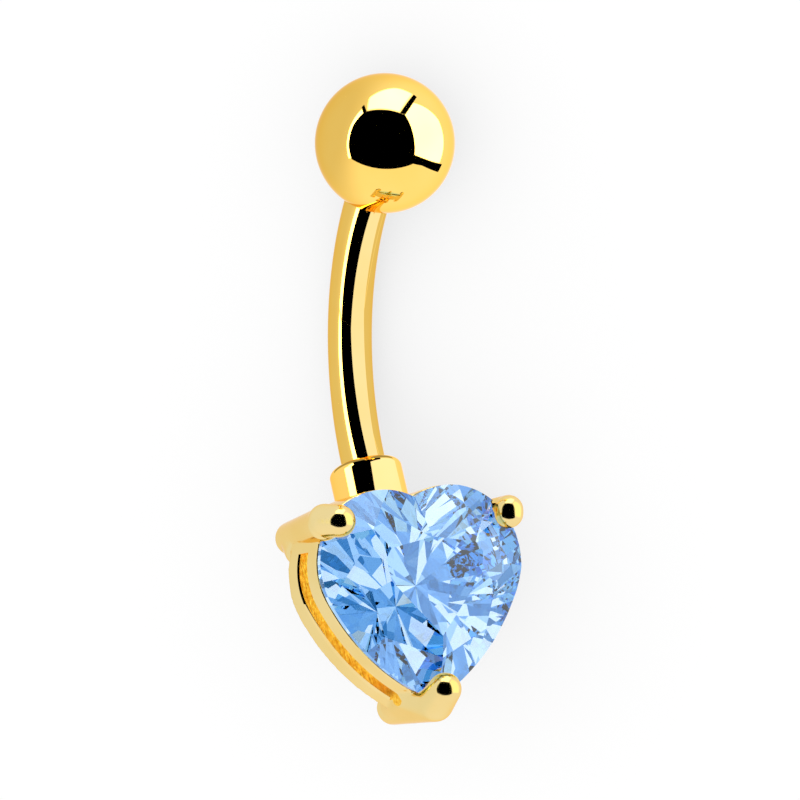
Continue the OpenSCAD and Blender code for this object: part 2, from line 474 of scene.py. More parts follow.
def chain(bm: bmesh.types.BMesh, points: Iterable[Sequence[float]]) -> list:
    """Draws a chain of edges through points of the XZ plane.

    Args:
        bm: the mesh to draw in.
        points: pairs of distance from the Z axis and height.

    Returns:
        The vertices and edges of the chain.
    """
    verts = [bm.verts.new((x, 0.0, z)) for x, z in points]
    edges = [bm.edges.new(pair) for pair in zip(verts, verts[1:])]
    return verts + edges


def arc(
    centre: tuple[float, float], radius: float, start: float, end: float, steps: int
) -> list[tuple[float, float]]:
    """Points of an arc in a profile.

    Args:
        centre: distance from the axis and height of the arc's centre.
        radius: the arc's radius.
        start: direction of its first point, in radians from outwards towards up.
        end: direction of its last point.
        steps: spans between the points.

    Returns:
        The points, both ends included.
    """
    turns = [start + (end - start) * i / steps for i in range(steps + 1)]
    return [(centre[0] + radius * math.cos(t), centre[1] + radius * math.sin(t)) for t in turns]


@dataclass
class Bench:
    """Turns finished meshes into the scene's pieces."""

    laying: Matrix

    def piece(
        self,
        bm: bmesh.types.BMesh,
        name: str,
        node: str,
        body: Body,
        slot: Slot,
        materials: Sequence[bpy.types.Material],
        crease: float,
    ) -> bpy.types.Object:
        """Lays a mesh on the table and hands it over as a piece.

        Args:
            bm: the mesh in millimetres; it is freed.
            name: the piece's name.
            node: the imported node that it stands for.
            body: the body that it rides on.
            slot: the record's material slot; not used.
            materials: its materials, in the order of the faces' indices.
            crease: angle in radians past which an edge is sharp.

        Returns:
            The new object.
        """
        bmesh.ops.recalc_face_normals(bm, faces=bm.faces[:])
        bm.transform(self.laying)
        made = linked(bm, name)
        mesh = made.data
        mesh.shade_smooth()
        mesh.set_sharp_from_angle(angle=crease)
        for material in materials:
            mesh.materials.append(material)
        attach(made, body.value)
        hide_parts(node)
        triangles = sum(len(p.vertices) - 2 for p in mesh.polygons)
        LOG.info("%s: %d triangles", name, triangles)
        return made


# ---------------------------------------------------------------- finishes


class Wiring:
    """Short forms for placing and joining shader nodes."""

    def __init__(self, tree: bpy.types.NodeTree) -> None:
        """Keeps the tree that the nodes go in."""
        self.tree = tree

    def add(
        self, kind: str, values: Optional[dict[Any, object]] = None, **settings: object
    ) -> bpy.types.Node:
        """Adds a node.

        Args:
            kind: the node's type.
            values: its inputs' values, by the input's name or number.
            settings: its properties.

        Returns:
            The node.
        """
        node = self.tree.nodes.new(kind)
        for name, value in settings.items():
            setattr(node, name, value)
        self.fill(node, values or {})
        return node

    def fill(self, node: bpy.types.Node, values: dict[Any, object]) -> None:
        """Sets a node's inputs by name or number."""
        for name, value in values.items():
            node.inputs[name].default_value = value

    def join(self, source: bpy.types.NodeSocket, target: bpy.types.NodeSocket) -> None:
        """Links two sockets."""
        self.tree.links.new(source, target)

    def combine(self, operation: str, first: object, second: object) -> bpy.types.NodeSocket:
        """Works out one value from two.

        Args:
            operation: the sum to do.
            first: a socket or a number.
            second: a socket or a number.

        Returns:
            The result.
        """
        node = self.add("ShaderNodeMath", operation=operation)
        for place, value in zip(node.inputs, (first, second)):
            if isinstance(value, bpy.types.NodeSocket):
                self.join(value, place)
            else:
                place.default_value = value
        return node.outputs[0]

    def noise(
        self, vector: bpy.types.NodeSocket, scale: float, detail: float
    ) -> bpy.types.NodeSocket:
        """Adds a noise texture.

        Args:
            vector: the place that the noise depends on.
            scale: its waves to a metre.
            detail: its finer layers.

        Returns:
            The noise, from 0 to 1.
        """
        node = self.add("ShaderNodeTexNoise", {"Scale": scale, "Detail": detail})
        self.join(vector, node.inputs["Vector"])
        return node.outputs["Fac"]

    def blend(
        self, share: bpy.types.NodeSocket, first: Sequence[float], second: Sequence[float]
    ) -> bpy.types.NodeSocket:
        """Blends two plain colours.

        Args:
            share: how much of the second shows.
            first: the first colour.
            second: the second colour.

        Returns:
            The blended colour.
        """
        values = {"A": (*first, 1.0), "B": (*second, 1.0)}
        node = self.add("ShaderNodeMix", values, data_type="RGBA")
        self.join(share, node.inputs["Factor"])
        return node.outputs["Result"]

    def step(
        self, way: bpy.types.NodeSocket, towards: Sequence[float], low: float, high: float
    ) -> bpy.types.NodeSocket:
        """Rises smoothly from 0 to 1 as a direction leans towards another.

        Args:
            way: the direction, of length one.
            towards: the other direction.
            low: the product of the two where the step starts.
            high: the product where it ends.

        Returns:
            The step's height.
        """
        lean = self.add("ShaderNodeVectorMath", {1: tuple(towards)}, operation="DOT_PRODUCT")
        self.join(way, lean.inputs[0])
        rise = self.add(
            "ShaderNodeMapRange", {"From Min": low, "From Max": high},
            interpolation_type="SMOOTHSTEP",
        )
        self.join(lean.outputs["Value"], rise.inputs["Value"])
        return rise.outputs["Result"]

    def spread(
        self, source: bpy.types.NodeSocket, low: float, high: float
    ) -> bpy.types.NodeSocket:
        """Maps the middle of a noise, where most of it lies, to a range.

        Args:
            source: the noise.
            low: the range's start.
            high: the range's end.

        Returns:
            The mapped value.
        """
        values = {"From Min": 0.3, "From Max": 0.7, "To Min": low, "To Max": high}
        node = self.add("ShaderNodeMapRange", values)
        self.join(source, node.inputs["Value"])
        return node.outputs["Result"]


def blank(name: str) -> tuple[bpy.types.Material, Wiring]:
    """Makes a new material.

    Args:
        name: its name.

    Returns:
        The material and the wiring of its nodes.
    """
    made = bpy.data.materials.new(name)
    made.use_nodes = True
    return made, Wiring(made.node_tree)


@dataclass(frozen=True)
class HandlingMarks:
    """The marks that handling leaves on metal: fine hairs that come and go in broad clouds."""

    fine: float = 9000.0
    broad: float = 500.0
    hair_stretch: tuple[float, float, float] = (1.0, 0.16, 1.0)
    hair_turn: tuple[float, float, float] = (0.3, 0.2, 0.5)
    hair_detail: float = 3.0
    cloud_detail: float = 2.0
    faintest: float = 0.2

    def group(self) -> bpy.types.NodeTree:
        """Builds the group that the gold finishes share.

        Returns:
            A group with Vector, Fine and Broad inputs and Marks, Tint and Relief outputs.
        """
        tree = bpy.data.node_groups.new("handling_marks", "ShaderNodeTree")
        face = tree.interface
        face.new_socket("Vector", in_out="INPUT", socket_type="NodeSocketVector")
        for name, value in (("Fine", self.fine), ("Broad", self.broad)):
            made = face.new_socket(name, in_out="INPUT", socket_type="NodeSocketFloat")
            made.default_value = value
        for name in ("Marks", "Tint", "Relief"):
            face.new_socket(name, in_out="OUTPUT", socket_type="NodeSocketFloat")
        wires = Wiring(tree)
        given = wires.add("NodeGroupInput").outputs
        stretch = wires.add(
            "ShaderNodeMapping", {"Scale": self.hair_stretch, "Rotation": self.hair_turn}
        )
        wires.join(given["Vector"], stretch.inputs["Vector"])
        hairs = wires.add("ShaderNodeTexNoise", {"Detail": self.hair_detail})
        wires.join(stretch.outputs["Vector"], hairs.inputs["Vector"])
        wires.join(given["Fine"], hairs.inputs["Scale"])
        clouds = wires.add("ShaderNodeTexNoise", {"Detail": self.cloud_detail})
        wires.join(given["Vector"], clouds.inputs["Vector"])
        wires.join(given["Broad"], clouds.inputs["Scale"])
        hair, cloud = hairs.outputs["Fac"], clouds.outputs["Fac"]
        marks = wires.combine(
            "MULTIPLY", wires.spread(hair, 0.0, 1.0), wires.spread(cloud, self.faintest, 1.0)
        )
        out = wires.add("NodeGroupOutput").inputs
        wires.join(marks, out["Marks"])
        wires.join(wires.spread(cloud, 0.0, 1.0), out["Tint"])
        wires.join(hair, out["Relief"])
        return tree


@dataclass(frozen=True)
class GoldFinish:
    """Gold plating in one state of polish; a finish with glow also carries a painted glow,
    emission in its own colour, though the gold is no lamp.
    """

    name: str
    light: tuple[float, float, float]
    deep: tuple[float, float, float]
    smoothest: float
    dullest: float
    relief: float
    fine: float = 9000.0
    broad: float = 500.0
    edge: tuple[float, float, float] = (1.0, 0.8, 0.5)
    # glow is the strength of a painted glow in the plating's own colour; the gold is no lamp.
    glow: float = 0.0

    def material(self, marks: bpy.types.NodeTree) -> bpy.types.Material:
        """Builds the material.

        Args:
            marks: the shared group of handling marks.

        Returns:
            The material, with its marks on Object coordinates.
        """
        made, wires = blank(self.name)
        shader = made.node_tree.nodes["Principled BSDF"]
        wires.fill(shader, {
            "Metallic": 1.0, "Specular Tint": (*self.edge, 1.0), "Emission Strength": self.glow,
        })
        place = wires.add("ShaderNodeTexCoord")
        group = wires.add(
            "ShaderNodeGroup", {"Fine": self.fine, "Broad": self.broad}, node_tree=marks
        )
        wires.join(place.outputs["Object"], group.inputs["Vector"])
        tint = wires.blend(group.outputs["Tint"], self.light, self.deep)
        wires.join(tint, shader.inputs["Base Color"])
        # The tint feeds the emission too, so a finish with glow paints light in its own colour.
        wires.join(tint, shader.inputs["Emission Color"])
        rough = wires.add(
            "ShaderNodeMapRange", {"To Min": self.smoothest, "To Max": self.dullest}
        )
        wires.join(group.outputs["Marks"], rough.inputs["Value"])
        wires.join(rough.outputs["Result"], shader.inputs["Roughness"])
        bump = wires.add("ShaderNodeBump", {"Strength": 1.0, "Distance": self.relief})
        wires.join(group.outputs["Relief"], bump.inputs["Height"])
        wires.join(bump.outputs["Normal"], shader.inputs["Normal"])
        return made


@dataclass(frozen=True)
class StoneFinish:
    """Clear blue cubic zirconia."""

    name: str = "pale_blue_zirconia"
    pale: tuple[float, float, float] = (0.96, 0.99, 1.0)
    full: tuple[float, float, float] = (0.88, 0.95, 1.0)
    ior: float = 2.4
    depth_colour: tuple[float, float, float] = (0.2, 0.7, 0.98)
    depth_density: float = 120.0
    cloud_scale: float = 300.0
    speck_scale: float = 6000.0
    detail: float = 2.0
    dullest: float = 0.008

    def shown(self, wires: Wiring) -> bpy.types.NodeSocket:
        """Makes the stone clear to the rays that the gold mirrors, so the gold stays gold.

        Args:
            wires: the material's nodes.

        Returns:
            1 where the stone shows and 0 where a mirrored ray reaches it from outside.
        """
        path = wires.add("ShaderNodeLightPath").outputs
        outside = wires.combine("LESS_THAN", path["Transmission Depth"], 0.5)
        mirrored_ray = wires.combine("MULTIPLY", path["Is Glossy Ray"], outside)
        return wires.combine("SUBTRACT", 1.0, mirrored_ray)

    def material(self) -> bpy.types.Material:
        """Builds the stone's glass, with faint clouds of colour and its depth's blue.

        Returns:
            The material, with its clouds on Object coordinates.
        """
        made, wires = blank(self.name)
        nodes = made.node_tree.nodes
        shader = nodes["Principled BSDF"]
        wires.fill(shader, {"Transmission Weight": 1.0, "IOR": self.ior})
        place = wires.add("ShaderNodeTexCoord").outputs["Object"]
        clouds = wires.spread(wires.noise(place, self.cloud_scale, self.detail), 0.0, 1.0)
        wires.join(wires.blend(clouds, self.pale, self.full), shader.inputs["Base Color"])
        specks = wires.noise(place, self.speck_scale, self.detail)
        wires.join(wires.spread(specks, 0.0, self.dullest), shader.inputs["Roughness"])
        wires.join(self.shown(wires), shader.inputs["Alpha"])
        depth = wires.add(
            "ShaderNodeVolumeAbsorption",
            {"Color": (*self.depth_colour, 1.0), "Density": self.depth_density},
        )
        wires.join(depth.outputs["Volume"], nodes["Material Output"].inputs["Volume"])
        return made


@dataclass(frozen=True)
class Finishes:
    """Every material of the jewel."""

    polished: bpy.types.Material
    cast: bpy.types.Material
    # The raw cast gold glows: a painted glow that lightens the shade inside the slots.
    raw: bpy.types.Material
    stone: bpy.types.Material

    @classmethod
    def mixed(cls) -> "Finishes":
        """Mixes all the finishes.

        Returns:
            The finishes.
        """
        marks = HandlingMarks().group()
        polished = GoldFinish(
            "polished_gold", (1.0, 0.66, 0.15), (1.0, 0.63, 0.125), 0.02, 0.06, 1.5e-8
        )
        cast = GoldFinish(
            "cast_gold", (0.97, 0.77, 0.33), (0.94, 0.72, 0.27), 0.1, 0.18, 8e-8, fine=6000.0
        )
        # The raw cast gold of the slots' cut walls glows at 0.25: a painted glow that lightens the
        # shade inside the slots.
        raw = GoldFinish(
            "raw_cast_gold", (1.0, 0.62, 0.08), (0.75, 0.36, 0.02), 0.3, 0.5, 4e-5,
            fine=14000.0, broad=7000.0, glow=0.25,
        )
        return cls(
            polished=polished.material(marks),
            cast=cast.material(marks),
            raw=raw.material(marks),
            stone=StoneFinish().material(),
        )


# ---------------------------------------------------------------- pieces


@dataclass
class Ball:
    """The plain ball that screws on the bar's upper end."""

    wear: Wear
    rings: int = 96
    segments: int = 160
    bore_spare: float = 0.2
    mouth: float = 0.06

    def build(self, bench: Bench, finishes: Finishes) -> bpy.types.Object:
        """Turns the ball with its flat and its bore.

        Args:
            bench: the bench that hands the piece over.
            finishes: the jewel's materials.

        Returns:
            The piece.
        """
        wear = self.wear
        radius = wear.ball_d / 2
        bore = wear.post_d / 2 + wear.gap
        deep = wear.gap + wear.post_length + self.bore_spare
        flat = wear.gap
        middle = (0.0, wear.ball_seat + wear.gap)
        start = -math.atan2(wear.ball_seat, wear.bar_d / 2)
        points = [(0.0, deep), (bore, deep), (bore, flat + self.mouth), (bore + self.mouth, flat)]
        points += arc(middle, radius, start, math.pi / 2, self.rings)
        bm = bmesh.new()
        turned(bm, chain(bm, points), self.segments)
        bm.transform(wear.at_bar_end())
        return bench.piece(
            bm, "ball_polished", "ball", Body.BALL, Slot.POLISHED, [finishes.polished],
            TURNED_CREASE,
        )


@dataclass
class Bar:
    """The bent bar, with its foot in the collar and its threaded post."""

    wear: Wear
    lead: float = 0.4
    foot_d: float = 1.3
    foot_depth: float = 2.0
    edge: float = 0.05
    edge_steps: int = 3
    pitch: float = 0.25
    thread_depth: float = 0.13
    thread_form: tuple[float, float, float] = (0.15, 0.5, 0.65)
    segments: int = 64
    spans: int = 96

    def bend(self) -> bmesh.types.BMesh:
        """Sweeps the bar round its bend and closes its ends.

        Returns:
            The bend, with its start a little down in the collar.
        """
        wear = self.wear
        bm = bmesh.new()
        ring = bmesh.ops.create_circle(bm, segments=self.segments, radius=wear.bar_d / 2)
        bm.transform(wear.at_rim())
        back = Matrix.Rotation(self.lead / wear.bend_r, 4, Vector((-1, 0, 0)))
        about = Matrix.Translation(wear.bend) @ back @ Matrix.Translation(-wear.bend)
        bmesh.ops.transform(bm, matrix=about, verts=ring["verts"])
        bmesh.ops.spin(
            bm, geom=bm.edges[:], cent=wear.bend, axis=(1, 0, 0), dvec=(0, 0, 0),
            angle=wear.sweep + self.lead / wear.bend_r, steps=self.spans,
        )
        ends = [e for e in bm.edges if e.is_boundary]
        caps = bmesh.ops.holes_fill(bm, edges=ends, sides=0)["faces"]
        rims = {e for face in caps for e in face.edges}
        bmesh.ops.bevel(
            bm, geom=list(rims), offset=self.edge, affect="EDGES", segments=self.edge_steps,
            profile=0.5, material=-1,
        )
        return bm

    def foot(self) -> bmesh.types.BMesh:
        """Makes the thinner foot that stands in the collar.

        Returns:
            The foot.
        """
        bm = bmesh.new()
        bmesh.ops.create_cone(
            bm, cap_ends=True, segments=self.segments, radius1=self.foot_d / 2,
            radius2=self.foot_d / 2, depth=self.foot_depth,
        )
        bm.transform(self.wear.at_rim() @ Matrix.Translation((0, 0, -self.foot_depth / 2)))
        return bm

    def post(self) -> bmesh.types.BMesh:
        """Winds the post's thread and trims it to length.

        Returns:
            The threaded post, closed at both ends.
        """
        wear = self.wear
        crest = wear.post_d / 2
        root = crest - self.thread_depth
        turns = math.ceil(wear.post_length / self.pitch) + 3
        start = -2 * self.pitch
        rising, top, falling = (share * self.pitch for share in self.thread_form)
        points = []
        for turn in range(turns):
            foot = start + turn * self.pitch
            points += [(root, foot), (root, foot + rising)]
            points += [(crest, foot + top), (crest, foot + falling)]
        points.append((root, start + turns * self.pitch))
        bm = bmesh.new()
        bmesh.ops.spin(
            bm, geom=chain(bm, points), cent=(0, 0, 0), axis=(0, 0, 1),
            dvec=(0, 0, self.pitch / self.segments), angle=math.tau, steps=self.segments,
        )
        bmesh.ops.remove_doubles(bm, verts=bm.verts[:], dist=WELD)
        for height, side in ((-self.pitch / 2, -1), (wear.post_length, 1)):
            sliced(bm, (0, 0, height), (0, 0, side), near=WELD)
        bm.transform(wear.at_bar_end())
        return bm

    def build(self, bench: Bench, finishes: Finishes) -> bpy.types.Object:
        """Makes the bar with its foot and its post.

        Args:
            bench: the bench that hands the piece over.
            finishes: the jewel's materials.

        Returns:
            The piece.
        """
        bm = merged(merged(self.bend(), self.foot()), self.post())
        return bench.piece(
            bm, "bar_polished", "curved_bar", Body.JEWEL, Slot.POLISHED, [finishes.polished],
            TURNED_CREASE,
        )


@dataclass
class Stone:
    """The heart-cut stone."""

    heart: Heart
    mains: tuple[float, ...] = (102.0, 58.0, 12.0, -30.0, -52.0)
    girdle: float = 0.2
    crown: float = 1.1
    crown_slope: float = math.radians(34)
    star_slope: float = math.radians(21)
    end_steeper: float = math.radians(4)
    pavilion: float = 3.3
    culet_rise: float = 0.35
    half_spread: float = 0.27
    star_reach: float = 0.5
    lower_reach: float = 0.72
    steps: int = 40

    def facing(self, angle: float) -> Vector:
        """The direction in the stone's plane that an angle faces."""
        return Vector((math.cos(angle), math.sin(angle)))

    def meeting(self, a: float, reach_a: float, b: float, reach_b: float) -> Vector:
        """Where two tangents cross.

        Args:
            a: direction that the first tangent faces.
            reach_a: its distance from the middle.
            b: direction that the second tangent faces.
            reach_b: its distance from the middle.

        Returns:
            The crossing in the stone's plane.
        """
        across = reach_a * math.sin(b) - reach_b * math.sin(a)
        up = reach_b * math.cos(a) - reach_a * math.cos(b)
        return Vector((across, up)) / math.sin(b - a)

    def crown_facets(self) -> list[tuple[float, float, float, float]]:
        """Lists the crown's facets.

        Returns:
            For each facet its facing, slope, distance out and depth above the girdle.
        """
        heart = self.heart
        angles = [math.radians(a) for a in self.mains]
        facets = [(a, self.crown_slope, heart.reach(a), 0.0) for a in angles]
        depth = self.crown * self.star_reach
        inset = depth / math.tan(self.crown_slope)
        for a, b in zip(angles, angles[1:]):
            corner = self.meeting(a, heart.reach(a) - inset, b, heart.reach(b) - inset)
            middle = (a + b) / 2
            facets.append((middle, self.star_slope, corner @ self.facing(middle), depth))
            for side in (-1, 1):
                turn = middle + side * self.half_spread * (b - a)
                out = heart.reach(turn) - corner @ self.facing(turn)
                facets.append((turn, math.atan2(depth, out), heart.reach(turn), 0.0))
        ends = (heart.cleft_angle(0), angles[0]), (heart.tip_angle(0), angles[-1])
        for edge, main in ends:
            turn = (edge + main) / 2
            slope = self.crown_slope + self.end_steeper
            facets.append((turn, slope, heart.reach(turn), 0.0))
        return facets

    def pavilion_facets(self) -> list[tuple[float, float, float, float]]:
        """Lists the pavilion's facets.

        Returns:
            For each facet the same four values as the crown's.
        """
        heart = self.heart
        culet = Vector((0.0, self.culet_rise))
        angles = [math.radians(a) for a in self.mains]
        facets = []
        for a in angles:
            out = heart.reach(a) - culet @ self.facing(a)
            facets.append((a, math.atan2(self.pavilion, out), heart.reach(a), 0.0))
        for a, b in zip(angles, angles[1:]):
            left = 1 - self.lower_reach
            reaches = [
                culet @ self.facing(t) + left * (heart.reach(t) - culet @ self.facing(t))
                for t in (a, b)
            ]
            corner = self.meeting(a, reaches[0], b, reaches[1])
            for side in (-1, 1):
                turn = (a + b) / 2 + side * self.half_spread * (b - a)
                out = heart.reach(turn) - corner @ self.facing(turn)
                slope = math.atan2(self.pavilion * self.lower_reach, out)
                facets.append((turn, slope, heart.reach(turn), 0.0))
        return facets

    def solid(self, grow: float = 0.0) -> bmesh.types.BMesh:
        """Cuts the stone.

        Args:
            grow: distance that every side moves out.

        Returns:
            The closed stone, each facet a flat face.
        """
        bm = bmesh.new()
        top = self.girdle / 2 + grow
        front = -(self.girdle / 2 + self.crown + grow)
        half = self.heart.draw_half(bm, grow, front, self.steps)
        edges = [e for e in half if isinstance(e, bmesh.types.BMEdge)]
        ends = [v for v in bm.verts if len(v.link_edges) == 1]
        edges.append(bm.edges.new(ends))
        bmesh.ops.contextual_create(bm, geom=edges)
        raised = bmesh.ops.extrude_face_region(bm, geom=bm.faces[:])
        moved = [v for v in raised["geom"] if isinstance(v, bmesh.types.BMVert)]
        depth = self.girdle + self.crown + self.pavilion + 3 * grow
        bmesh.ops.translate(bm, verts=moved, vec=(0, depth, 0))
        sides = ((self.crown_facets(), -1.0), (self.pavilion_facets(), 1.0))
        for facets, way in sides:
            for turn, slope, reach, height in facets:
                out = self.facing(turn)
                point = (reach + grow) * out
                lean = math.sin(slope)
                sliced(
                    bm,
                    Vector((point.x, way * (top + height), point.y)),
                    Vector((lean * out.x, way * math.cos(slope), lean * out.y)),
                )
        inner = [f for f in bm.faces if all(abs(v.co.x) < WELD for v in f.verts)]
        bmesh.ops.delete(bm, geom=inner, context="FACES_ONLY")
        mirrored(bm, whole(bm))
        bmesh.ops.dissolve_degenerate(bm, edges=bm.edges[:], dist=WELD)
        return bm

    def build(self, bench: Bench, finishes: Finishes) -> bpy.types.Object:
        """Cuts the stone and lays it in its basket.

        Args:
            bench: the bench that hands the piece over.
            finishes: the jewel's materials.

        Returns:
            The piece.
        """
        return bench.piece(
            self.solid(), "stone_faceted", "heart_stone", Body.JEWEL, Slot.STONE,
            [finishes.stone], FACET_CREASE,
        )


@dataclass(frozen=True)
class Knob:
    """One ball of a claw, placed outwards from the stone's outline, along it and forward."""

    out: float
    along: float
    forward: float
    radius: float

    @property
    def centre(self) -> Vector:
        """The ball's middle."""
        return Vector((self.out, self.along, self.forward))


@dataclass(frozen=True)
class Claw:
    """One claw: its place on the heart, its leg and the lumps of its elbow and head.

    The foot, the knee and the lumps are placed outwards from the stone's outline, along it and
    forward. Each lump is one skin drawn tight over its knobs.
    """

    side: int
    direction: float
    foot: tuple[float, float, float]
    knee: tuple[float, float, float]
    lumps: tuple[tuple[Knob, ...], ...]
    leg_r: float = 0.5
    knee_r: float = 0.5
    foot_round: float = 0.15
    foot_steps: int = 6
    segments: int = 48
    rings: int = 32

    def outward(self) -> Vector:
        """Direction out from the heart at the claw."""
        return Vector((self.side * math.cos(self.direction), 0, math.sin(self.direction)))

    def frame(self, heart: Heart) -> Matrix:
        """Finds the claw's own frame.

        Args:
            heart: the heart's outline.

        Returns:
            The claw's place on the girdle, with X outwards and Z to the front.
        """
        out = self.outward()
        if self.side == 0:
            place = Vector((0, 0, heart.tip_z()))
        else:
            place = Vector((self.side * heart.lobe_x, 0, heart.lobe_z)) + heart.lobe_r * out
        across = FRONT.cross(out)
        turn = Matrix((out, across, FRONT)).transposed().to_4x4()
        return Matrix.Translation(place) @ turn

    def leg(self, heart: Heart) -> bmesh.types.BMesh:
        """Makes the leg, from its rounded foot to the knee.

        Args:
            heart: the heart's outline.

        Returns:
            The leg.
        """
        foot, knee = Vector(self.foot), Vector(self.knee)
        run = knee - foot
        bm = bmesh.new()
        bmesh.ops.create_cone(
            bm, cap_ends=True, segments=self.segments, radius1=self.leg_r,
            radius2=self.knee_r, depth=run.length,
        )
        rim = [e for e in bm.edges if all(v.co.z < 0 for v in e.verts)]
        bmesh.ops.bevel(
            bm, geom=rim, offset=self.foot_round, affect="EDGES", segments=self.foot_steps,
            profile=0.5, material=-1,
        )
        lie = run.to_track_quat("Z", "Y").to_matrix().to_4x4()
        bm.transform(self.frame(heart) @ Matrix.Translation((foot + knee) / 2) @ lie)
        return bm

    def lump(self, heart: Heart, knobs: Sequence[Knob]) -> bmesh.types.BMesh:
        """Draws a skin tight over knobs.

        Args:
            heart: the heart's outline.
            knobs: the balls under the skin.

        Returns:
            The skin.
        """
        bm = bmesh.new()
        for knob in knobs:
            bmesh.ops.create_uvsphere(
                bm, u_segments=self.segments, v_segments=self.rings, radius=knob.radius,
                matrix=Matrix.Translation(knob.centre),
            )
        hull = bmesh.ops.convex_hull(bm, input=bm.verts[:])
        spare = {
            v for v in hull["geom_interior"] + hull["geom_unused"]
            if isinstance(v, bmesh.types.BMVert)
        }
        bmesh.ops.delete(bm, geom=list(spare), context="VERTS")
        bm.transform(self.frame(heart))
        return bm

    def shells(self, heart: Heart) -> list[bmesh.types.BMesh]:
        """Makes the claw's leg and lumps."""
        return [self.leg(heart)] + [self.lump(heart, knobs) for knobs in self.lumps]


LEFT_CLAW = Claw(
    -1, math.radians(39), (-0.46, 0.0, -4.05), (0.25, 0.26, 0.35),
    (
        (Knob(0.306, 0.19, 0.338, 0.6), Knob(0.01, 0.07, 0.88, 0.58)),
        (Knob(-0.46, 0.02, -3.55, 0.6), Knob(-0.416, 0.76, -2.5, 0.45)),
    ),
    leg_r=0.62, knee_r=0.62, foot_round=0.25,
)
RIGHT_CLAW = Claw(
    1, math.radians(38), (-0.245, 0.0, -3.6), (-0.04, 0.0, 0.7),
    (
        (Knob(-0.04, 0.0, 0.7, 0.5), Knob(-0.3, -0.05, 1.0, 0.52), Knob(-0.2, 0.05, 1.0, 0.52)),
    ),
)
BOTTOM_CLAW = Claw(
    0, math.radians(-90), (0.0, 0.0, -3.55), (0.095, -0.1, 0.25),
    (
        (Knob(0.095, -0.1, 0.25, 0.65), Knob(-0.37, -0.045, 1.0, 0.59)),
        (Knob(0.08, -0.34, 0.1, 0.45), Knob(-0.37, -0.045, 1.0, 0.55)),
        (Knob(0.095, -0.1, 0.25, 0.65), Knob(-0.2, -0.62, -0.9, 0.45), Knob(0.0, 0.0, -3.1, 0.61)),
    ),
    leg_r=0.62, knee_r=0.65, foot_round=0.25,
)


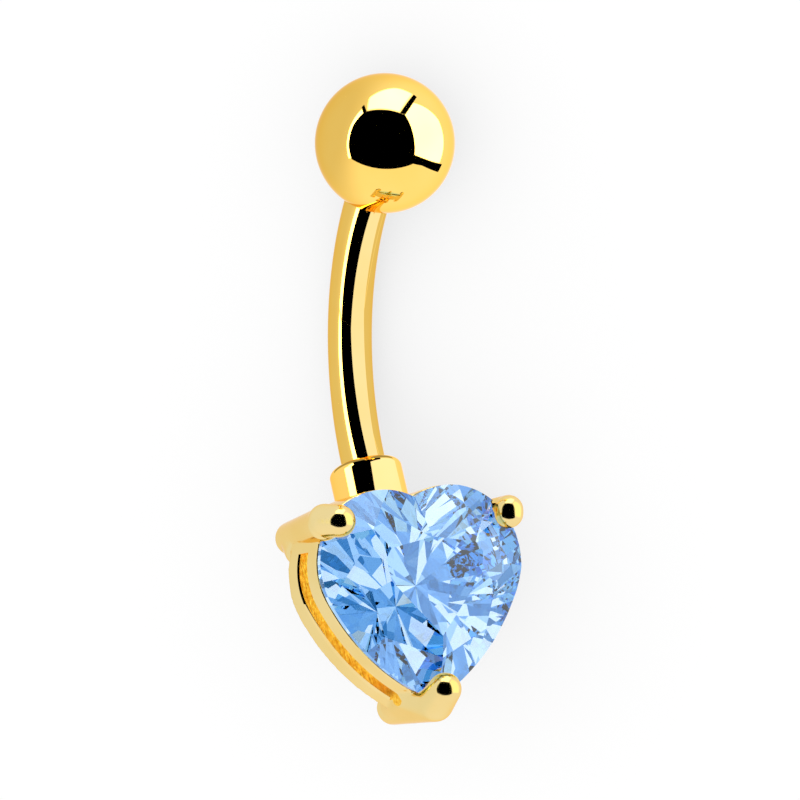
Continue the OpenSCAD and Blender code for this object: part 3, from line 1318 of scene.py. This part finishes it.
@dataclass
class Setting:
    """The cast basket with its claws and collar."""

    wear: Wear
    stone: Stone
    wall_out: float = 0.2
    wall_in: float = 0.4
    wall_front: float = 0.14
    wall_back: float = 2.2
    wall_drop: float = 0.26
    tuck: float = 0.03
    slot_front: float = 0.86
    slot_back: float = 1.46
    slot_flare: float = 0.06
    slot_top: float = 1.85
    slot_end: float = 1.0
    slot_past: float = 0.5
    flare_lean: tuple[float, float] = (0.45, 0.9)
    bridge_w: float = 1.6
    bridge_sink: float = 0.1
    web: float = 0.6
    web_front: float = 0.15
    web_relax: int = 6
    clearing: float = 20.0
    relax: int = 12
    coarse: float = 0.08
    fine: float = 0.05
    outline_steps: int = 56
    rim_round: float = 0.3
    rim_lift: float = 0.04
    bore_round: float = 0.04
    bore_depth: float = 0.45
    collar_segments: int = 128
    claws: tuple[Claw, ...] = (LEFT_CLAW, RIGHT_CLAW, BOTTOM_CLAW)

    def shell(self, loops: Sequence[tuple[float, float, float]]) -> bmesh.types.BMesh:
        """Makes a closed ring whose section runs through the given points.

        Args:
            loops: for each loop its distance outside the stone's outline, its place along Y
                and how far it is lowered.

        Returns:
            The ring, bridged from each loop to the next and back to the first.
        """
        bm = bmesh.new()
        drawn = []
        for grow, depth, drop in loops:
            edges = self.wear.heart.draw(bm, grow, depth, self.outline_steps)
            verts = list({v for edge in edges for v in edge.verts})
            bmesh.ops.translate(bm, verts=verts, vec=(0, 0, -drop))
            drawn.append(edges)
        for first, second in zip(drawn, drawn[1:] + drawn[:1]):
            bmesh.ops.bridge_loops(bm, edges=first + second)
        return bm

    def wall(self) -> bmesh.types.BMesh:
        """Makes the heart-shaped wall, narrowing forward until the girdle hides its edge.

        Returns:
            The wall.
        """
        return self.shell([
            (self.tuck, self.wall_front, 0.0),
            (self.wall_out, self.wall_back, self.wall_drop),
            (-self.wall_in, self.wall_back, self.wall_drop),
            (-self.wall_in, self.wall_front, 0.0),
        ])

    def bridge(self) -> bmesh.types.BMesh:
        """Makes the block that carries the collar at the cleft.

        Returns:
            The block.
        """
        cleft = self.wear.heart.cleft_z(self.wall_out)
        tall = self.wear.collar_d / 2
        deep = self.wear.collar_back - self.wall_front
        middle = (0, self.wall_front + deep / 2, cleft - tall / 2 - self.bridge_sink)
        size = Matrix.Diagonal((self.bridge_w, deep, tall, 1))
        bm = bmesh.new()
        bmesh.ops.create_cube(bm, size=1, matrix=Matrix.Translation(middle) @ size)
        return bm

    def webbed(self, bm: bmesh.types.BMesh) -> bmesh.types.BMesh:
        """Fills the corners between shells with round webs, as casting leaves them.

        Args:
            bm: the shells; the mesh is freed.

        Returns:
            The shells with their webs, without what stands in front of the girdle.
        """
        bm = swollen(fused(bm, self.coarse), self.web)
        bm = relaxed(fused(bm, self.coarse), self.web_relax)
        bm = swollen(bm, -self.web)
        tool = bmesh.new()
        place = Matrix.Translation((0, self.web_front - self.clearing / 2, 0))
        bmesh.ops.create_cube(tool, size=self.clearing, matrix=place)
        return carved(bm, tool)

    def slot_tool(self) -> bmesh.types.BMesh:
        """Makes the cutter for the two slots, flared where it leaves the wall.

        Returns:
            The cutter: a heart-shaped ring without its lobes and its tip.
        """
        flare, past = self.slot_flare, self.slot_past
        ends = []
        for depth in (self.slot_front, self.slot_back):
            share = (depth - self.wall_front) / (self.wall_back - self.wall_front)
            ends.append((self.tuck + share * (self.wall_out - self.tuck), share * self.wall_drop))
        (near, near_drop), (far, far_drop) = ends
        inner = -self.wall_in - past
        bm = self.shell([
            (inner, self.slot_front, near_drop),
            (near - flare, self.slot_front, near_drop),
            (near + past, self.slot_front - flare - past, near_drop),
            (far + past, self.slot_back + flare + past, far_drop),
            (far - flare, self.slot_back, far_drop),
            (inner, self.slot_back, far_drop),
        ])
        sliced(bm, (0, 0, 0), (-1, 0, 0), closed=False)
        sliced(bm, (0, 0, self.slot_top), (0, 0, 1))
        sliced(bm, (self.slot_end, 0, 0), (-1, 0, 0))
        mirrored(bm, whole(bm))
        return bm

    def collar(self) -> bmesh.types.BMesh:
        """Turns the collar with its rounded rim and the bore for the bar.

        Returns:
            The collar.
        """
        wear = self.wear
        bore = wear.bar_d / 2 + wear.gap
        rim, lip = self.rim_round, self.bore_round
        straight = wear.collar_d / 2 - rim
        points = [(0.0, -wear.collar_length), (straight, -wear.collar_length)]
        points += arc((straight, rim - wear.collar_length), rim, -math.pi / 2, 0, 12)
        points += arc((straight, -rim), rim, 0, math.pi / 2, 16)
        points += arc((bore + lip, -lip), lip, math.pi / 2, math.pi, 4)
        points += [(bore, -self.bore_depth), (0.0, -self.bore_depth)]
        bm = bmesh.new()
        turned(bm, chain(bm, points), self.collar_segments)
        bm.transform(wear.at_rim() @ Matrix.Translation((0, 0, self.rim_lift)))
        return bm

    def build(self, bench: Bench, finishes: Finishes) -> bpy.types.Object:
        """Casts the basket and its claws, and cuts the slots and the stone's seat.

        Args:
            bench: the bench that hands the piece over.
            finishes: the jewel's materials.

        Returns:
            The piece.
        """
        heart = self.wear.heart
        frame = merged(self.wall(), self.bridge())
        for claw in self.claws:
            for shell in claw.shells(heart):
                merged(frame, shell)
        cast = merged(self.webbed(frame.copy()), frame)
        cast = relaxed(fused(cast, self.fine), self.relax)
        cast = carved(cast, self.stone.solid(self.wear.gap))
        # The slots' cut walls get the raw cast gold, whose emission is a painted glow that
        # lightens their shade.
        cast = carved(cast, self.slot_tool(), finishes.raw)
        flattest, steepest = self.flare_lean
        for face in cast.faces:
            if face.material_index == 1 and flattest < abs(face.normal.y) < steepest:
                face.material_index = 0
        return bench.piece(
            cast, "setting_cast", "heart_setting", Body.JEWEL, Slot.CAST,
            [finishes.cast, finishes.raw], CAST_CREASE,
        )

    def build_collar(self, bench: Bench, finishes: Finishes) -> bpy.types.Object:
        """Turns the collar on the setting's back.

        Args:
            bench: the bench that hands the piece over.
            finishes: the jewel's materials.

        Returns:
            The piece.
        """
        return bench.piece(
            self.collar(), "collar_polished", "heart_setting", Body.JEWEL, Slot.POLISHED,
            [finishes.polished], CAST_CREASE,
        )


# ---------------------------------------------------------------- studio


@dataclass(frozen=True)
class View:
    """The photograph's view of the jewel, as fitted: angles, distance and frame."""

    azimuth: float = math.radians(-27.095)
    elevation: float = math.radians(-2.212)
    roll: float = math.radians(-5.94)
    distance: float = 250.0
    scale: float = 28.142
    origin_px: tuple[float, float] = (423.397, 594.263)
    frame_px: float = 800.0
    sensor: float = 36.0
    nearest: float = 0.01

    def axes(self) -> tuple[Vector, Vector, Vector]:
        """Works out the picture's axes in the jewel's frame.

        Returns:
            Right, up and towards the camera.
        """
        az, el = self.azimuth, self.elevation
        toward = Vector((math.sin(az) * math.cos(el), -math.cos(az) * math.cos(el), math.sin(el)))
        right = Vector((math.cos(az), math.sin(az), 0))
        up = toward.cross(right)
        turn = self.roll
        across = math.cos(turn) * right + math.sin(turn) * up
        above = -math.sin(turn) * right + math.cos(turn) * up
        return across, above, toward

    def camera(self, laying: Matrix) -> bpy.types.Object:
        """Places the camera at the photograph's angle.

        Args:
            laying: the jewel's resting place.

        Returns:
            The camera, aimed at the middle of the frame.
        """
        right, up, toward = self.axes()
        focal = self.scale * self.distance
        half = self.frame_px / 2
        aim = (
            right * (half - self.origin_px[0]) + up * (self.origin_px[1] - half) - toward * focal
        ).normalized()
        side = aim.cross(up).normalized()
        turn = laying.to_3x3() * (1 / MM)
        axes = [turn @ axis for axis in (side, side.cross(aim), -aim)]
        place = Matrix(axes).transposed().to_4x4()
        place.translation = laying @ (toward * self.distance)
        data = bpy.data.cameras.new("camera")
        data.sensor_width = self.sensor
        data.lens = focal / self.frame_px * self.sensor
        data.clip_start = self.nearest
        made = bpy.data.objects.new("camera", data)
        made.matrix_world = place
        bpy.context.scene.collection.objects.link(made)
        bpy.context.scene.camera = made
        return made


class Seen(Enum):
    """Which rays see a dome."""

    GLOSS = "gloss"
    STONE = "stone"


@dataclass(frozen=True)
class Patch:
    """A straight-sided patch of a dome: its corners are directions from the dome's middle."""

    corners: tuple[tuple[float, float, float], ...]
    radiance: float
    soft: float = 0.0
    colour: tuple[float, float, float] = (1.0, 1.0, 1.0)

    def sides(self) -> list[Vector]:
        """Works out the planes through the dome's middle and the patch's edges.

        Returns:
            Their normals, towards the inside of the patch.
        """
        ways = [Vector(corner).normalized() for corner in self.corners]
        middle = sum(ways, Vector())
        planes = []
        for way, following in zip(ways, ways[1:] + ways[:1]):
            plane = way.cross(following).normalized()
            planes.append(plane if plane.dot(middle) > 0 else -plane)
        return planes


@dataclass(frozen=True)
class Surround:
    """What a dome shows outside its patches: a colour that fades towards one side."""

    full: tuple[float, float, float]
    faded: tuple[float, float, float]
    towards: tuple[float, float, float] = (-0.88, 0.27, -0.39)
    fade_from: float = 0.1
    fade_to: float = 0.85


@dataclass(frozen=True)
class Dome:
    """A dome of light around the jewel that only the given pieces see."""

    name: str
    surround: Surround
    patches: tuple[Patch, ...]
    seen: Seen = Seen.GLOSS
    cells: float = 0.0
    tones: tuple[tuple[float, tuple[float, float, float]], ...] = ()
    shift: tuple[float, float, float] = (0.0, 0.0, 0.0)
    subdivisions: int = 4
    hard: float = 1e-4

    def lamps(self, wires: Wiring, way: bpy.types.NodeSocket) -> bpy.types.NodeSocket:
        """Covers the dome with lamps, edge to edge, each with one of the tones.

        Args:
            wires: the dome's nodes.
            way: the direction from the dome's middle.

        Returns:
            Their light.
        """
        moved = wires.add("ShaderNodeVectorMath", {1: self.shift}, operation="ADD")
        wires.join(way, moved.inputs[0])
        grid = wires.add("ShaderNodeTexVoronoi", {"Scale": self.cells})
        wires.join(moved.outputs[0], grid.inputs["Vector"])
        pick = wires.add("ShaderNodeSeparateColor")
        wires.join(grid.outputs["Color"], pick.inputs["Color"])
        ramp = wires.add("ShaderNodeValToRGB")
        ramp.color_ramp.interpolation = "CONSTANT"
        stops = ramp.color_ramp.elements
        for place, tone in self.tones:
            stop = stops[0] if place == 0 else stops.new(place)
            stop.color = (*tone, 1.0)
        stops.remove(stops[-1])
        wires.join(pick.outputs["Red"], ramp.inputs["Fac"])
        return ramp.outputs["Color"]

    def covered(
        self, wires: Wiring, way: bpy.types.NodeSocket, shown: bpy.types.NodeSocket
    ) -> bpy.types.NodeSocket:
        """Lays the patches over the dome's light, one after the other.

        Args:
            wires: the dome's nodes.
            way: the direction from the dome's middle.
            shown: the light under the patches.

        Returns:
            The light with the patches.
        """
        for patch in self.patches:
            edge = max(patch.soft, self.hard)
            halves = [wires.step(way, side, 0.0, edge) for side in patch.sides()]
            inside = halves[0]
            for half in halves[1:]:
                inside = wires.combine("MULTIPLY", inside, half)
            glow = [patch.radiance * part for part in patch.colour]
            layer = wires.add("ShaderNodeMix", {"B": (*glow, 1.0)}, data_type="RGBA")
            wires.join(inside, layer.inputs["Factor"])
            wires.join(shown, layer.inputs["A"])
            shown = layer.outputs["Result"]
        return shown

    def material(self) -> bpy.types.Material:
        """Builds the dome's glow, clear to every piece that doesn't see it.

        Returns:
            The material.
        """
        made, wires = blank(self.name)
        made.cycles.emission_sampling = "NONE"
        nodes = made.node_tree.nodes
        nodes.remove(nodes["Principled BSDF"])
        place = wires.add("ShaderNodeTexCoord")
        unit = wires.add("ShaderNodeVectorMath", operation="NORMALIZE")
        wires.join(place.outputs["Object"], unit.inputs[0])
        way = unit.outputs[0]
        if self.cells:
            shown = self.lamps(wires, way)
        else:
            room = self.surround
            fade = wires.step(way, room.towards, room.fade_from, room.fade_to)
            shown = wires.blend(fade, room.full, room.faded)
        lamp = wires.add("ShaderNodeEmission")
        wires.join(self.covered(wires, way, shown), lamp.inputs["Color"])
        clear = wires.add("ShaderNodeBsdfTransparent")
        both = wires.add("ShaderNodeAddShader")
        wires.join(lamp.outputs["Emission"], both.inputs[0])
        wires.join(clear.outputs["BSDF"], both.inputs[1])
        wires.join(both.outputs["Shader"], nodes["Material Output"].inputs["Surface"])
        return made

    def build(self, place: Matrix, radius: float, pieces: Sequence[bpy.types.Object]) -> None:
        """Hangs the dome.

        Args:
            place: its middle, and the picture's right, up and towards axes.
            radius: its radius in metres.
            pieces: the pieces that see it.
        """
        bm = bmesh.new()
        bmesh.ops.create_icosphere(bm, subdivisions=self.subdivisions, radius=radius)
        made = linked(bm, self.name)
        made.data.materials.append(self.material())
        made.matrix_world = place
        made.visible_camera = False
        made.visible_diffuse = False
        made.visible_shadow = False
        made.visible_volume_scatter = False
        made.visible_glossy = self.seen is Seen.GLOSS
        made.visible_transmission = self.seen is Seen.STONE
        seers = bpy.data.collections.new(self.name)
        for piece in pieces:
            seers.objects.link(piece)
        made.light_linking.receiver_collection = seers


OPENING = (
    (-0.85, 1.44, 1), (0.63, 1.2, 1), (0.89, 1.16, 1), (1.33, -0.6, 1), (1.45, -1.14, 1),
    (-1.88, -0.95, 1), (-1.86, -0.15, 1), (-1.55, 0.78, 1), (-1.05, 1.41, 1),
)
TOP_LIGHT = (
    (-0.44, 0.74, 0.51), (0.38, 0.71, 0.59), (0.49, 0.84, -0.23), (0.19, 0.96, -0.23),
    (-0.34, 0.93, 0.13),
)
RIGHT_LIGHT = (
    (0.5, 0.66, 0.56), (0.75, -0.34, 0.57), (0.93, -0.37, 0.01), (0.82, -0.27, -0.51),
    (0.83, 0.01, -0.55), (0.86, 0.26, -0.43), (0.77, 0.56, -0.31), (0.55, 0.81, -0.21),
)
LEFT_LIGHT = (
    (-0.52, 0.7, 0.5), (-0.81, -0.4, 0.43), (-0.85, -0.38, 0.36), (-0.91, -0.07, 0.4),
    (-0.84, 0.33, 0.44), (-0.53, 0.77, 0.35),
)
TOP_SEAM = ((0.38, 0.71, 0.59), (0.49, 0.84, -0.23), (0.55, 0.81, -0.21), (0.5, 0.66, 0.56))
RIGHT_SEAM_FRONT = (
    (0.75, -0.33, 0.57), (0.93, -0.37, 0.01), (0.83, -0.52, 0.22), (0.69, -0.54, 0.48),
)
RIGHT_SEAM_BACK = (
    (0.93, -0.37, 0.01), (0.82, -0.27, -0.51), (0.77, -0.39, -0.5), (0.83, -0.52, 0.22),
)
LEFT_SEAM = ((-0.52, 0.7, 0.5), (-0.52, 0.79, 0.32), (-0.46, 0.84, 0.29), (-0.44, 0.74, 0.51))

TENT_PATCHES = (
    Patch(TOP_LIGHT, 5.5, 0.06),
    Patch(RIGHT_LIGHT, 5.5, 0.02),
    Patch(LEFT_LIGHT, 5.5, 0.01),
    Patch(TOP_SEAM, 0.0),
    Patch(RIGHT_SEAM_FRONT, 0.0),
    Patch(RIGHT_SEAM_BACK, 0.0),
    Patch(LEFT_SEAM, 0.0),
    Patch(OPENING, 0.0),
)

CLAW_PATCHES = (
    Patch(TOP_LIGHT, 2.2, 0.06, (1.0, 1.0, 0.8)),
    Patch(RIGHT_LIGHT, 1.3, 0.02, (1.0, 1.0, 0.75)),
    Patch(LEFT_LIGHT, 1.15, 0.06, (1.0, 1.0, 0.75)),
    Patch(OPENING, 0.0, 0.01),
)
STONE_TONES = (
    (0.0, (0.02, 0.12, 0.25)), (0.08, (0.12, 0.33, 0.62)), (0.34, (0.42, 0.64, 1.0)),
    (0.57, (1.2, 1.15, 1.3)), (0.77, (2.2, 1.6, 1.5)),
)


BAR_DARK = (
    ((-0.42, 0.9, 0.35), (0.35, 0.9, 0.35)),
    ((-0.449, 0.52, 0.73), (0.378, 0.5, 0.78)),
    ((-0.69, -0.33, 0.64), (0.104, -0.37, 0.92)),
    ((-0.504, -0.86, 0.098), (0.204, -0.95, 0.221)),
    ((-0.35, -0.95, -0.4), (0.25, -0.95, -0.3)),
)
COLLAR_DARK = (
    ((-0.43, 0.8, 0.45), (-0.06, 0.85, 0.6)),
    ((-0.62, 0.42, 0.55), (-0.04, 0.52, 0.87)),
    ((-0.72, -0.3, 0.5), (0.01, -0.37, 0.93)),
)
RIM_BAND = Patch(
    ((-0.6, 0.5, 0.6), (0.0, 0.4, 0.9), (0.6, 0.78, 0.25), (0.4, 0.9, -0.1), (-0.5, 0.85, -0.2)),
    0.0, 0.01,
)
RIM_BROWN = Patch(
    ((-0.4, 0.9, 0.1), (0.0, 0.97, 0.2), (0.34, 0.93, 0.0), (0.6, 0.5, -0.6), (-0.8, 0.1, -0.6)),
    0.4, 0.02,
)
Row = tuple[tuple[float, float, float], tuple[float, float, float]]


def beside(
    rows: Sequence[Row], edge: int, start: tuple[float, float], end: tuple[float, float]
) -> tuple[Row, ...]:
    """Moves one edge of a strip to make the rows of another strip beside it.

    Args:
        rows: the strip's left and right edge, as directions, from its top to its foot.
        edge: 0 for its left edge or 1 for its right edge.
        start: how far right and forward the new strip's left edge lies from that edge.
        end: how far right and forward its right edge lies from it.

    Returns:
        The new strip's rows.
    """
    return tuple(
        tuple((row[edge][0] + right, row[edge][1], row[edge][2] + ahead)
              for right, ahead in (start, end))
        for row in rows
    )


def strip(
    rows: Sequence[Row],
    radiance: float,
    soft: float,
    colour: tuple[float, float, float] = (1.0, 1.0, 1.0),
) -> tuple[Patch, ...]:
    """Makes a long upright strip of a dome from patches end to end.

    Args:
        rows: the strip's left and right edge, as directions, from its top to its foot.
        radiance: its light.
        soft: how soft its edges are.
        colour: the light's colour.

    Returns:
        One patch between each row and the next.
    """
    return tuple(
        Patch((upper[0], upper[1], lower[1], lower[0]), radiance, soft, colour)
        for upper, lower in zip(rows, rows[1:])
    )


@dataclass
class Studio:
    """The pale floor, the soft light and the domes that the gold and the stone see."""

    view: View
    laying: Matrix
    radius: float = 0.4
    apart: float = 0.02
    warm: Surround = Surround((1.12, 1.15, 1.35), (0.78, 0.78, 0.78))
    cast: Surround = Surround((0.95, 0.93, 1.0), (0.86, 0.88, 0.98))
    even: Surround = Surround((1.1, 1.1, 1.3), (1.0, 1.0, 1.1))
    cool: Surround = Surround((0.6, 0.65, 0.7), (0.4, 0.45, 0.5))
    cream: tuple[float, float, float] = (1.05, 1.22, 2.35)
    sky: tuple[float, float, float] = (0.85, 0.97, 1.1)
    floor_reach: float = 3.0
    floor_colour: tuple[float, float, float] = (0.3, 0.3, 0.3)
    floor_glow: float = 0.7
    room_light: float = 1.06
    bounces: int = 24
    stone_bounces: int = 20
    gold_bounces: int = 12
    clear_bounces: int = 32

    def domes(self, pieces: dict[str, bpy.types.Object]) -> list[tuple[Dome, list]]:
        """Lists the domes.

        Args:
            pieces: the jewel's pieces by name.

        Returns:
            Each dome with the pieces that see it.
        """
        bar = strip(beside(BAR_DARK, 1, (0.0, 0.0), (0.9, -0.75)), 1.0, 0.0, self.cream)
        bar += strip(beside(BAR_DARK, 0, (-0.2, -0.2), (0.0, 0.0)), 5.5, 0.02)
        bar += strip(beside(BAR_DARK, 1, (0.9, -0.75), (0.1, -2.4)), 0.8, 0.02)
        bar += strip(BAR_DARK, 0.0, 0.0)
        collar_right = tuple(((u, v, c), (1.0, v, -0.6)) for _, (u, v, c) in COLLAR_DARK)
        collar = strip(collar_right, 1.15, 0.0, self.cream)
        collar += strip(beside(COLLAR_DARK, 0, (-0.2, -0.3), (0.0, 0.0)), 5.0, 0.05)
        collar += strip(COLLAR_DARK, 0.0, 0.0) + (RIM_BAND, RIM_BROWN)
        outer = (
            Patch(TOP_LIGHT, 1.4, 0.05, self.sky),
            Patch(RIGHT_LIGHT, 1.5, 0.3, self.sky),
            Patch(LEFT_LIGHT, 1.4, 0.01, self.sky),
            Patch(OPENING, 0.0),
        )
        lamps = Dome(
            "stone_light", self.cool, (), Seen.STONE,
            cells=4.0, shift=(3.1, 1.3, 8.0), tones=STONE_TONES,
        )
        return [
            (Dome("tent", self.warm, TENT_PATCHES), [pieces["ball_polished"]]),
            (Dome("claw_tent", self.cast, CLAW_PATCHES), [pieces["setting_cast"]]),
            (Dome("bar_strips", self.warm, bar), [pieces["bar_polished"]]),
            (Dome("collar_strips", self.even, collar), [pieces["collar_polished"]]),
            (Dome("stone_gloss", self.cool, outer), [pieces["stone_faceted"]]),
            (lamps, [pieces["stone_faceted"]]),
        ]

    def floor(self) -> bpy.types.Object:
        """Lays the plain pale floor.

        Returns:
            The floor.
        """
        bm = bmesh.new()
        bmesh.ops.create_grid(bm, x_segments=1, y_segments=1, size=self.floor_reach)
        made = linked(bm, "floor")
        material, wires = blank("pale_floor")
        wires.fill(material.node_tree.nodes["Principled BSDF"], {
            "Base Color": (*self.floor_colour, 1.0),
            "Emission Color": (1.0, 1.0, 1.0, 1.0),
            "Emission Strength": self.floor_glow,
            "Roughness": 0.9,
            "Specular IOR Level": 0.0,
        })
        made.data.materials.append(material)
        made.visible_glossy = False
        return made

    def world(self) -> None:
        """Sets the soft light all round; the gold and the stone see the domes instead."""
        world = bpy.data.worlds.new("studio")
        bpy.context.scene.world = world
        world.use_nodes = True
        wires = Wiring(world.node_tree)
        room = world.node_tree.nodes["Background"]
        wires.fill(room, {"Color": (1.0, 1.0, 1.0, 1.0), "Strength": self.room_light})
        dark = wires.add("ShaderNodeBackground", {"Color": (0.0, 0.0, 0.0, 1.0)})
        path = wires.add("ShaderNodeLightPath").outputs
        clear = wires.combine("MAXIMUM", path["Is Glossy Ray"], path["Is Transmission Ray"])
        mix = wires.add("ShaderNodeMixShader")
        wires.join(clear, mix.inputs["Fac"])
        wires.join(room.outputs["Background"], mix.inputs[1])
        wires.join(dark.outputs["Background"], mix.inputs[2])
        output = world.node_tree.nodes["World Output"]
        wires.join(mix.outputs["Shader"], output.inputs["Surface"])

    def tones(self) -> None:
        """Sets the picture's tones and how often the light may bounce."""
        scene = bpy.context.scene
        scene.view_settings.view_transform = "Standard"
        cycles = scene.cycles
        cycles.max_bounces = self.bounces
        cycles.transmission_bounces = self.stone_bounces
        cycles.glossy_bounces = self.gold_bounces
        cycles.transparent_max_bounces = self.clear_bounces
        cycles.caustics_reflective = False
        cycles.caustics_refractive = False

    def build(self, wear: Wear, pieces: dict[str, bpy.types.Object]) -> None:
        """Sets up the floor, the domes, the world and the picture's tones.

        Args:
            wear: the jewel's sizes, for the ball's place.
            pieces: the jewel's pieces by name.
        """
        turn = self.laying.to_3x3() * (1 / MM)
        axes = [turn @ axis for axis in self.view.axes()]
        place = Matrix(axes).transposed().to_4x4()
        place.translation = self.laying @ wear.at_bar_end() @ Vector((0, 0, wear.ball_seat))
        for index, (dome, seers) in enumerate(self.domes(pieces)):
            dome.build(place, self.radius + index * self.apart, seers)
        self.floor()
        self.world()
        self.tones()


def main() -> None:
    """Builds every piece and the studio."""
    logging.basicConfig(level=logging.INFO, format="%(name)s %(message)s")
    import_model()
    wear = Wear()
    laying = Laying().matrix()
    bench = Bench(laying)
    finishes = Finishes.mixed()
    stone = Stone(wear.heart)
    setting = Setting(wear, stone)
    builders: list[Callable[[Bench, Finishes], bpy.types.Object]] = [
        Ball(wear).build,
        Bar(wear).build,
        setting.build,
        setting.build_collar,
        stone.build,
    ]
    pieces = {}
    for build in builders:
        made = build(bench, finishes)
        pieces[made.name] = made
        made.visible_transmission = made.name == "stone_faceted"
    view = View()
    view.camera(laying)
    Studio(view, laying).build(wear, pieces)
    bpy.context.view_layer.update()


if __name__ == "__main__":
    main()
